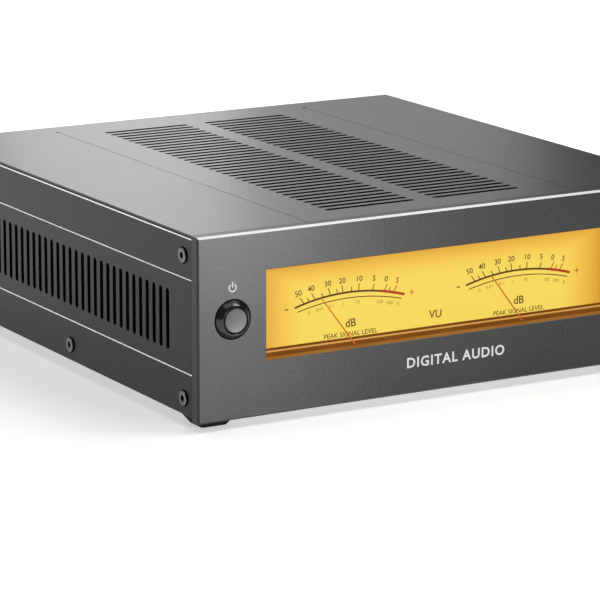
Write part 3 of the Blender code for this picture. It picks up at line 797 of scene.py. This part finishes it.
def make_foot(name):
    """A moulded foot: its sides slope in to a square pad with soft corners."""
    xs, depths, zs = node_mm(name)
    half = ((xs[1] - xs[0]) / 2, (depths[1] - depths[0]) / 2)
    rows = []
    for height, shrink in ((zs[1], 0.25), (FOOT_DROP - 0.1, 0.0), (0.12, 2.1), (0.0, 2.25)):
        corners = rectangle((-half[0], half[0]), (-half[1], half[1]), shrink)
        rows.append([(u, v, height) for u, v in rounded(corners, 1.0, 5)])
    foot = stacked(f"{name}_moulding", rows, place(x=sum(xs) / 2, depth=sum(depths) / 2))
    shade(foot, 25)
    settle(foot, "rubber", replaces=[name])


# ---------------------------------------------------------------- front controls


def make_button(label, x):
    at = {"x": x, "z": BUTTON_Z, "turn": FORWARD}
    bezel = [(4.85, 2.25), (5.0, 2.4), (5.2, 2.36)]
    for i in range(7):
        part = i / 6
        bezel.append((5.35 + 1.6 * part, 2.25 - 2.2 * part**1.25))
    bezel += [(7.0, -0.1), (7.0, -6.4), (4.85, -6.4)]
    ring = turned(f"{label}_button_ring", bezel, 72, ring=True, **at)
    shade(ring, 35)
    settle(ring, "gloss", replaces=[f"{label}_button_bezel"])
    face = [(0.0, 2.38), (3.95, 2.4), (4.08, 2.42)]
    rim = [(4.08, 2.42), (4.2, 2.5), (4.34, 2.48), (4.46, 2.36), (4.5, 2.2)]
    skirt = [(4.5, 2.2), (4.5, -4.9), (2.0, -5.0), (2.0, -9.0), (0.0, -9.0)]
    parts = []
    for name, profile, look in (("face", face, "cap"), ("rim", rim, "cap"), ("skirt", skirt, "plastic")):
        part = turned(f"{label}_{name}", profile, 64, **at)
        parts.append(paint(shade(part, 40), look))
    cap = weld(join(f"{label}_button_cap", parts))
    settle(cap, None, body=f"{label}_button", replaces=[f"{label}_button"])


def weld(piece):
    """Merges the points that the rows of a piece share."""
    bm = bmesh.new()
    bm.from_mesh(piece.data)
    bmesh.ops.remove_doubles(bm, verts=bm.verts, dist=0.000002)
    bmesh.ops.recalc_face_normals(bm, faces=bm.faces)
    bm.to_mesh(piece.data)
    bm.free()
    return piece


def arc_band(center, radius, width, start, end, steps=40):
    """A flat band along an arc, with its angles taken from straight up, positive to the right."""
    outer, inner = [], []
    for i in range(steps + 1):
        angle = math.radians(start + (end - start) * i / steps)
        for row, reach in ((outer, radius + width / 2), (inner, radius - width / 2)):
            row.append((center[0] + reach * math.sin(angle), center[1] + reach * math.cos(angle)))
    return outer + inner[::-1]


def stroke(start, end, width):
    a, b = Vector(start), Vector(end)
    across = Vector((-(b - a).y, (b - a).x)).normalized() * width / 2
    return [tuple(p) for p in (a + across, b + across, b - across, a - across)]


def print_loops(name, groups, depth):
    """Flat printed shapes at one depth: groups maps a look's name to its outlines."""
    parts = []
    for look, loops in groups.items():
        for i, loop in enumerate(loops):
            part = plate(f"{name}_{look}_{i}", [loop], PRINT_THICK, 0.0, 1, upright(depth))
            parts.append(paint(part, look))
    return parts


def letters(name, text, height, look, at, depth, lean=0.0, spacing=1.0, weight=0.0):
    """Plain lettering from Blender's own font, centred on a point and leaning clockwise by an angle."""
    curve = bpy.data.curves.new(name, "FONT")
    curve.body = text
    curve.size = height * SIZE_PER_HEIGHT
    curve.align_x = "CENTER"
    curve.align_y = "CENTER"
    curve.space_character = spacing
    curve.extrude = PRINT_THICK / 2
    curve.offset = weight
    curve.resolution_u = 3
    mesh = from_curve(name, curve)
    mesh.transform(Matrix.Rotation(math.radians(-lean), 4, "Z"))
    mesh.transform(Matrix.Translation((at[0], at[1], 0)))
    mesh.materials.clear()
    part = link(name, mesh, upright(depth))
    return paint(part, look)


DARK_TICKS = (
    (-13.5, 2.9), (-11.9, 1.8), (-10.2, 2.9), (-7.8, 1.8), (-5.6, 2.9), (-3.5, 1.8),
    (-1.9, 2.9), (0.7, 1.8), (2.8, 2.7), (7.0, 2.5),
)
RED_TICKS = ((10.6, 2.9), (11.9, 1.8), (13.4, 2.9))
NUMERALS = ((-14.5, "50"), (-10.8, "40"), (-6.1, "30"), (-2.0, "20"), (2.8, "10"), (7.1, "5"), (10.6, "0"))
LOWER_ROW = (
    (-12.7, "0"), (-9.3, "0.01"), (-5.4, "0.1"), (-1.8, "1"),
    (2.6, "10"), (9.7, "100"), (13.0, "200"), (15.8, "%"),
)


def polar(center, radius, angle):
    turn = math.radians(angle)
    return (center[0] + radius * math.sin(turn), center[1] + radius * math.cos(turn))


def make_scale(label, shift):
    """The printed scale of one meter: two arcs, ticks, numerals and generic captions."""
    base = (-36.14 + shift, -38.79)
    inner = (-35.7 + shift, -46.7)
    fan = (-34.3 + shift, 14.7)
    middle = -35.5 + shift
    dark = [arc_band(base, ARC_R, 0.72, -16.5, 9.4), arc_band(inner, 85.6, 0.36, -14.8, 14.7)]
    red = [arc_band(base, ARC_R, 0.95, 9.4, 17.0, 14)]
    for look, ticks in ((dark, DARK_TICKS), (red, RED_TICKS)):
        for angle, reach in ticks:
            foot = Vector(polar(base, ARC_R + 0.1, angle))
            away = (foot - Vector(fan)).normalized()
            look.append(stroke(foot, foot + away * reach, 0.34))
    parts = print_loops(f"scale_{label}", {"ink": dark, "red_ink": red}, PRINT_DEPTH)

    def write(text, height, look, at, lean=0.0, weight=0.0):
        parts.append(letters("text", text, height, look, at, PRINT_DEPTH, lean, weight=weight))

    for angle, text in NUMERALS:
        write(text, 2.1, "ink", polar(base, NUMERAL_R, angle), angle * 0.9, 0.03)
    write("5", 2.1, "red_ink", polar(base, NUMERAL_R, 13.9), 12.0, 0.05)
    for angle, text in LOWER_ROW:
        write(text, 1.35, "faint_ink", polar(base, 75.8, angle), angle * 0.8)
    u, v = polar(base, 80.6, -18.8)
    parts += print_loops("minus", {"ink": [stroke((u - 0.7, v), (u + 0.7, v), 0.45)]}, PRINT_DEPTH)
    u, v = polar(base, 81.2, 19.0)
    plus = [stroke((u - 1.0, v), (u + 1.0, v), 0.3), stroke((u, v - 1.0), (u, v + 1.0), 0.3)]
    parts += print_loops("plus", {"red_ink": plus}, PRINT_DEPTH)
    write("dB", 3.1, "ink", (middle, 29.5), weight=0.04)
    write("PEAK SIGNAL LEVEL", 1.85, "ink", (middle, 25.5), weight=0.01)
    settle(join(f"meter_scale_{label}", parts), None)


def make_needle(label, x):
    """A tapered pointer with its hub, its balance tail and its axle: the orange blade and the hub carry a
    painted glow, standing in for the dial's light.
    """
    at = place(x=x, depth=NEEDLE_DEPTH, z=PIVOT_Z, turn=(90, -NEEDLE_ANGLE, 0))
    blade = [(-0.26, 0.0), (0.26, 0.0), (0.17, 24.2), (-0.17, 24.2)]
    tail = rounded([(-0.85, -4.1), (0.85, -4.1), (0.5, 0.0), (-0.5, 0.0)], 0.2)
    hub = [(0.0, 0.6), (1.0, 0.6), (1.15, 0.4), (1.15, -0.7), (0.7, -0.7), (0.7, -7.1), (0.0, -7.1)]
    axle = turned(f"needle_hub_{label}", hub, 32, x=x, depth=NEEDLE_DEPTH, z=PIVOT_Z, turn=FORWARD)
    parts = [
        paint(plate(f"needle_blade_{label}", [blade], 0.3, 0.0, 1, at), "needle"),
        paint(plate(f"needle_tail_{label}", [tail], 0.6, 0.0, 1, at), "inside"),
        paint(shade(axle, 40), "painted_glow_brown"),
    ]
    piece = join(f"meter_pointer_{label}", parts)
    settle(piece, None, body=f"needle_{label}", replaces=[f"needle_{label}"])


def make_window():
    """The pane, the dial with its scales, the rail under it and the frame around them."""
    settle(block("window_pane", *node_mm("window_lens"), 0.2), "lens", replaces=["window_lens"])
    settle(block("dial_panel", *node_mm("dial_plate"), 0.15), "dial", replaces=["dial_plate"])
    across, deep, tall = node_mm("dial_rail")
    # The rail's bright strip is painted light from the dial
    rail = block("dial_rail_strip", across, deep, (tall[0] + 0.35, tall[1]), 0.1, 3)
    settle(rail, "rail", replaces=["dial_rail"])
    xs, depths, zs = node_mm("meter_frame")
    ring = [rounded(rectangle(xs, zs), 1.2), rounded(rectangle(xs, zs, FRAME_WALL), 0.6)]
    housing = plate("meter_housing", ring, depths[1] - depths[0], 0.2, 1, upright(sum(depths) / 2))
    settle(shade(housing, 25), "inside", replaces=["meter_frame"])
    unit = letters("unit", "VU", 3.1, "ink", (0.6, 28.5), PRINT_DEPTH, weight=0.04)
    settle(join("unit_print", [unit]), None)
    make_sill()
    for label, x in METERS.items():
        make_scale(label, x - METERS["left"])
        make_needle(label, x)


def make_sill():
    """The strips under the dial: a dark joint line, and a mask with holes for the needles' axles, both with
    the dial's amber light painted on as their own glow.
    """
    xs = node_mm("dial_plate")[0]
    joint = block("dial_joint", xs, (10.93, 11.5), (23.42, 24.28), 0.02)
    settle(joint, "dark_joint_painted_glow")
    holes = [circle((x, PIVOT_Z), 1.3, 24) for x in METERS.values()]
    mask = plate("dial_mask", [rectangle(xs, (12.4, 22.72)), *holes], 0.6, 0.0, 1, upright(11.32))
    settle(mask, "painted_glow_brown")


def make_prints():
    """Printed marks on the front panel: the standby symbol and plain words."""
    center = (BUTTONS["power"] - 0.05, 51.0)
    gap = 38.0
    ring = arc_band(center, 1.38, 0.52, gap, 360.0 - gap, 30)
    bar = stroke((center[0], center[1] + 0.1), (center[0], center[1] + 2.05), 0.52)
    # The white print gives off a painted glow
    parts = print_loops("standby", {"white_ink": [ring, bar]}, FRONT_PRINT_DEPTH)
    settle(join("standby_symbol", parts), None)
    style = {"spacing": 1.15, "weight": 0.12}
    word = letters("word", "DIGITAL AUDIO", 3.8, "white_ink", (2.6, 14.6), FRONT_PRINT_DEPTH, **style)
    settle(join("front_word", [word]), None)


# ---------------------------------------------------------------- inside and rear


INSIDE = {
    "board": ("main_board", "power_board", "backlight_board", "power_switch", "input_switch"),
    "tray": ("bottom_tray", "transformer_clamp", "front_bracket_left", "front_bracket_right"),
    "plastic": ("tube_socket_left", "tube_socket_right", "meter_movement_left", "meter_movement_right"),
    "shield": ("converter_shield",),
    "wrap": ("toroidal_transformer",),
    "sleeve": ("capacitor_left", "capacitor_right"),
    "glass": ("tube_left", "tube_right"),
}


def make_inside():
    """The inside pieces keep their CAD shape and get a look."""
    for look, names in INSIDE.items():
        for name in names:
            paint(NODES[name], look)


REAR = 212.9
OUTER = REAR + 0.3
XLR_AT = {"balanced_output_left": (-74.0, 44.0), "balanced_output_right": (-42.0, 44.0)}
PHONO_AT = {
    "line_output_left": (-16.0, 52.0, "white_plastic"),
    "line_output_right": (-16.0, 32.0, "red_plastic"),
    "coaxial_input": (12.0, 46.0, "orange_plastic"),
}
USB_AT = (6.0, 20.1)
OPTICAL_AT = (28.0, 20.1)
INLET_AT = (68.0, 47.2)
ROCKER_AT = (68.0, 24.4)
ROCKER_TILT = 10.0


def centered(at, half_x, half_z):
    return rectangle(around(at[0], half_x), around(at[1], half_z))


def make_rear_panel():
    """The rear sheet with one bevelled hole for each connector."""
    xs, depths, zs = node_mm("rear_panel")
    loops = [rectangle(xs, zs)]
    loops += [circle(at, 12.2, 64) for at in XLR_AT.values()]
    loops += [circle(at[:2], 4.3, 40) for at in PHONO_AT.values()]
    loops += [centered(USB_AT, 6.4, 5.8), centered(OPTICAL_AT, 6.4, 6.2)]
    loops += [centered(INLET_AT, 14.1, 10.4), centered(ROCKER_AT, 6.7, 9.9)]
    sheet = plate("rear_sheet", loops, 2.0, 0.15, 1, upright(sum(depths) / 2))
    settle(shade(sheet, 20), "rear", replaces=["rear_panel"])


def make_xlr(name, x, z):
    """A flange with two fixing screws, a round cup and three contact pins."""
    outline = rounded(centered((x, z), 13.0, 15.5), 2.2, 6)
    flange = plate(f"{name}_flange", [outline, circle((x, z), 9.6, 64)], 2.0, 0.35, 2, upright(OUTER + 1.0))
    lip = OUTER + 1.6
    section = [(9.62, lip), (11.7, lip), (11.7, 196.2), (0.0, 196.2), (0.0, 201.0), (9.62, 201.0)]
    cup = turned(f"{name}_cup", section, 64, ring=True, x=x, z=z, turn=REARWARD)
    parts = [paint(part, "plastic") for part in (flange, weld(cup))]
    pin = [(0.0, OUTER - 0.1), (0.7, OUTER - 0.25), (1.15, OUTER - 1.0), (1.15, 200.5), (0.0, 200.5)]
    for i in range(3):
        u, v = polar((x, z), 4.9, -120 * i)
        parts.append(paint(turned("pin", pin, 20, x=u, z=v, turn=REARWARD), "pin"))
    top = OUTER + 2.45
    head = [(0.0, top), (1.2, top), (1.55, top - 0.25), (1.55, OUTER + 1.5), (0.0, OUTER + 1.5)]
    for side in (-1, 1):
        spot = {"x": x + side * 10.2, "z": z + side * 12.6}
        screw = turned("screw", head, 24, turn=REARWARD, **spot)
        for turn in (0, 90):
            slit = block("slit", (-1.0, 1.0), (-0.22, 0.22), (-0.4, 0.4))
            slit.data.transform(place(depth=top, turn=(-90, turn, 0), **spot) @ place().inverted())
            boolean(screw, slit)
        parts.append(paint(screw, "screw"))
    settle(shade(join(f"{name}_socket", parts), 32), None, replaces=[name])


def make_phono(name, x, z, color):
    """A gold shell with turned rings, a hexagonal nut and a coloured insulator."""
    at = {"x": x, "z": z, "turn": REARWARD}
    end = REAR + 9.5
    shell = [(3.3, end), (3.85, end), (4.12, end - 0.3)]
    for ring in (end - 2.2, end - 3.2):
        shell += [(4.12, ring), (3.95, ring - 0.15), (3.95, ring - 0.45), (4.12, ring - 0.6)]
    shell += [(4.12, OUTER), (3.8, OUTER), (3.8, 202.0), (0.0, 202.0), (0.0, end - 8.0), (3.3, end - 8.0)]
    nut = [(3.9, OUTER), (5.9, OUTER), (5.9, OUTER + 1.8), (5.4, OUTER + 2.2), (3.9, OUTER + 2.2)]
    core = [(1.7, end - 0.5), (3.25, end - 0.5), (3.25, end - 7.9), (1.7, end - 7.9)]
    parts = [
        paint(weld(turned(f"{name}_shell", shell, 48, ring=True, **at)), "gold"),
        paint(turned(f"{name}_nut", nut, 6, ring=True, **at), "gold"),
        paint(turned(f"{name}_core", core, 40, ring=True, **at), color),
    ]
    settle(shade(join(f"{name}_jack", parts), 32), None, replaces=[name])


def hollow_block(name, at, half, cavity, depths, floor, edge):
    """A box with an open cavity in its rear face."""
    shell = block(name, around(at[0], half[0]), depths, around(at[1], half[1]), edge)
    inner = block("inner", around(at[0], cavity[0]), (floor, depths[1] + 5), around(at[1], cavity[1]))
    return boolean(shell, inner)


def make_ports():
    """The USB socket with its tongue and contacts, and the optical socket with its hinged shutter."""
    x, z = USB_AT
    end = REAR + 1.3
    shell = hollow_block("usb_shell", USB_AT, (6.0, 5.4), (4.3, 3.95), (197.0, end), 204.0, 0.4)
    tongue = block("usb_tongue", around(x, 2.8), (203.0, end - 1.5), around(z, 1.5), 0.3)
    parts = [paint(shell, "shield"), paint(tongue, "white_plastic")]
    for i in range(4):
        row = (x - 2.1 + (i % 2) * 2.4, x - 0.3 + (i % 2) * 2.4)
        level = z + (1.5 if i < 2 else -1.5)
        parts.append(paint(block("contact", row, (205.0, end - 2.2), around(level, 0.08), 0.02), "gold"))
    settle(join("usb_port", parts), None, replaces=["usb_input"])
    port = hollow_block("optical_shell", OPTICAL_AT, (6.0, 5.8), (4.4, 4.6), (197.0, end), 201.0, 0.4)
    settle(port, "plastic", replaces=["optical_input"])
    x, z = OPTICAL_AT
    flap = plate("flap", [rounded(centered(OPTICAL_AT, 4, 4.2), 0.5)], 0.8, 0.12, 1, upright(end - 1.2))
    bar = block("flap_bar", around(x, 2.6), (end - 1.5, end - 0.72), around(z, 0.7), 0.05)
    whole = join("shutter_flap", [paint(flap, "plastic"), paint(bar, "plastic")])
    settle(whole, None, body="optical_shutter", replaces=["optical_shutter"])


def make_mains():
    """The inlet with its three blades, and the switch housing with its rocker."""
    x, z = INLET_AT
    outline = rounded(centered(INLET_AT, 25.0, 11.5), 4.0, 6)
    opening = rounded(centered(INLET_AT, 12.0, 8.2), [2.5, 2.5, 1.0, 1.0])
    flange = plate("inlet_flange", [outline, opening], 2.2, 0.4, 2, upright(OUTER + 1.1))
    well = hollow_block("inlet_well", INLET_AT, (13.6, 9.9), (12.0, 8.2), (195.2, OUTER + 0.9), 199.5, 0.2)
    parts = [paint(flange, "plastic"), paint(well, "plastic")]
    for dx, dz in ((-7.0, -2.0), (0.0, 2.2), (7.0, -2.0)):
        blade = block("blade", around(x + dx, 1), (199.0, OUTER - 1.0), around(z + dz, 2), 0.3)
        parts.append(paint(blade, "pin"))
    top = OUTER + 2.5
    head = [(0.0, top), (1.7, top), (2.1, top - 0.3), (2.1, OUTER + 1.6), (0.0, OUTER + 1.6)]
    for side in (-1, 1):
        parts.append(paint(turned("head", head, 24, x=x + side * 19.5, z=z, turn=REARWARD), "screw"))
    settle(shade(join("inlet", parts), 32), None, replaces=["mains_inlet"])
    x, z = ROCKER_AT
    bezel = [rounded(centered(ROCKER_AT, 7.5, 10.8), 1.2), centered(ROCKER_AT, 5.2, 8.7)]
    rim = plate("rocker_rim", bezel, 1.5, 0.3, 2, upright(OUTER + 0.75))
    cage = hollow_block("rocker_cage", ROCKER_AT, (6.2, 9.4), (5.2, 8.7), (196.2, OUTER + 0.7), 203.0, 0.2)
    whole = join("rocker_frame", [paint(rim, "plastic"), paint(cage, "plastic")])
    settle(shade(whole, 32), None, replaces=["mains_switch_housing"])
    lean = Matrix.Rotation(math.radians(-ROCKER_TILT), 2)
    points = ((-1.5, 7.4), (4.6, 7.4), (3.3, 0.0), (4.6, -7.4), (-1.5, -7.4), (-3.0, 0.0))
    section = [tuple(lean @ Vector(point)) for point in points]
    rocker = plate("rocker", [section], 9.6, 0.25, 2, place(x=x, depth=209.5, z=z, turn=(90, 0, 90)))
    settle(shade(rocker, 25), "plastic", body="mains_rocker", replaces=["mains_rocker"])


def make_rear():
    make_rear_panel()
    for name, at in XLR_AT.items():
        make_xlr(name, *at)
    for name, at in PHONO_AT.items():
        make_phono(name, *at)
    make_ports()
    make_mains()


# ---------------------------------------------------------------- stage


# Where the camera stands, its turn in degrees, and its focal length over the width of the picture
CAMERA_AT = {"x": -652.16, "depth": -1014.91, "z": 320.71}
CAMERA_HEADING = 30.138
CAMERA_PITCH = -13.292
CAMERA_ROLL = 0.115
FOCAL_WIDTHS = 5.7092
SENSOR = 36.0


def make_camera():
    data = bpy.data.cameras.new("camera")
    data.sensor_width = SENSOR
    data.lens = SENSOR * FOCAL_WIDTHS
    data.clip_end = 50.0
    camera = bpy.data.objects.new("camera", data)
    bpy.context.scene.collection.objects.link(camera)
    camera.matrix_world = Matrix.Translation(place(**CAMERA_AT).to_translation())
    for axis, angle in (("Z", -CAMERA_HEADING), ("X", 90 + CAMERA_PITCH), ("Z", CAMERA_ROLL)):
        camera.matrix_world = camera.matrix_world @ Matrix.Rotation(math.radians(angle), 4, axis)
    bpy.context.scene.camera = camera


def make_floor():
    bm = bmesh.new()
    bmesh.ops.create_grid(bm, x_segments=1, y_segments=1, size=6.0)
    mesh = bpy.data.meshes.new("floor")
    bm.to_mesh(mesh)
    bm.free()
    floor = bpy.data.objects.new("floor", mesh)
    bpy.context.scene.collection.objects.link(floor)
    # The floor gives off a little light, more with distance, so that it fades to white round the object
    m = Nodes("floor_look", Roughness=0.14, Specular_IOR_Level=0.25)
    m.color(m.ramp(m.noise(2.0), [(0.3, grey(0.9)), (0.7, grey(0.92))]))
    reach = m.add("ShaderNodeVectorMath", operation="LENGTH")
    m.wire(m.coords, reach.inputs[0])
    m.wire(m.spread(reach.outputs["Value"], 0.48, 0.78, 0.13, 0.36), m.shader.inputs["Emission Strength"])
    m.shader.inputs["Emission Color"].default_value = (1.0, 1.0, 1.0, 1.0)
    mesh.materials.append(m.material)


def area_light(name, at, aim, size, power):
    data = bpy.data.lights.new(name, "AREA")
    data.shape = "RECTANGLE"
    data.size, data.size_y = size
    data.energy = power
    lamp = bpy.data.objects.new(name, data)
    bpy.context.scene.collection.objects.link(lamp)
    lamp.location = at
    lamp.rotation_euler = (Vector(aim) - Vector(at)).to_track_quat("-Z", "Y").to_euler()


# Each lamp's name, place and aim in metres, size in metres and power in watts
LAMPS = (
    ("overhead", (0.0, 0.1, 1.6), (0.0, 0.0, 0.0), (1.6, 1.6), 8.0),
    ("back_left", (0.18, 0.5, 0.31), (0.18, 0.0, 0.25), (0.16, 0.42), 0.5),
    ("back_right", (0.36, 0.5, 0.31), (0.36, 0.0, 0.25), (0.2, 0.42), 0.22),
    ("front", (-0.01, -0.32, 0.042), (-0.08, -0.11, 0.04), (0.12, 0.05), 0.3),
    ("chamfer", (0.5, -0.35, 0.95), (0.0, -0.1, 0.07), (0.5, 0.5), 3.8),
    ("groove", (-0.36, 0.95, 0.58), (-0.104, 0.0, 0.06), (0.5, 0.4), 1.3),
)


def make_lights():
    world = bpy.data.worlds.new("studio")
    bpy.context.scene.world = world
    world.use_nodes = True
    background = world.node_tree.nodes["Background"]
    background.inputs["Color"].default_value = (1.0, 1.0, 1.0, 1.0)
    background.inputs["Strength"].default_value = 0.14
    for name, at, aim, size, power in LAMPS:
        area_light(name, at, aim, size, power)
    bpy.context.scene.view_settings.view_transform = "Standard"


def main():
    make_front_panel()
    make_cover()
    for side in (-1, 1):
        make_side(side)
        for end in ("front", "rear"):
            make_foot(f"foot_{end}_{side_label(side)}")
    make_window()
    make_prints()
    for label, x in BUTTONS.items():
        make_button(label, x)
    make_inside()
    make_rear()
    make_floor()
    make_lights()
    make_camera()


main()
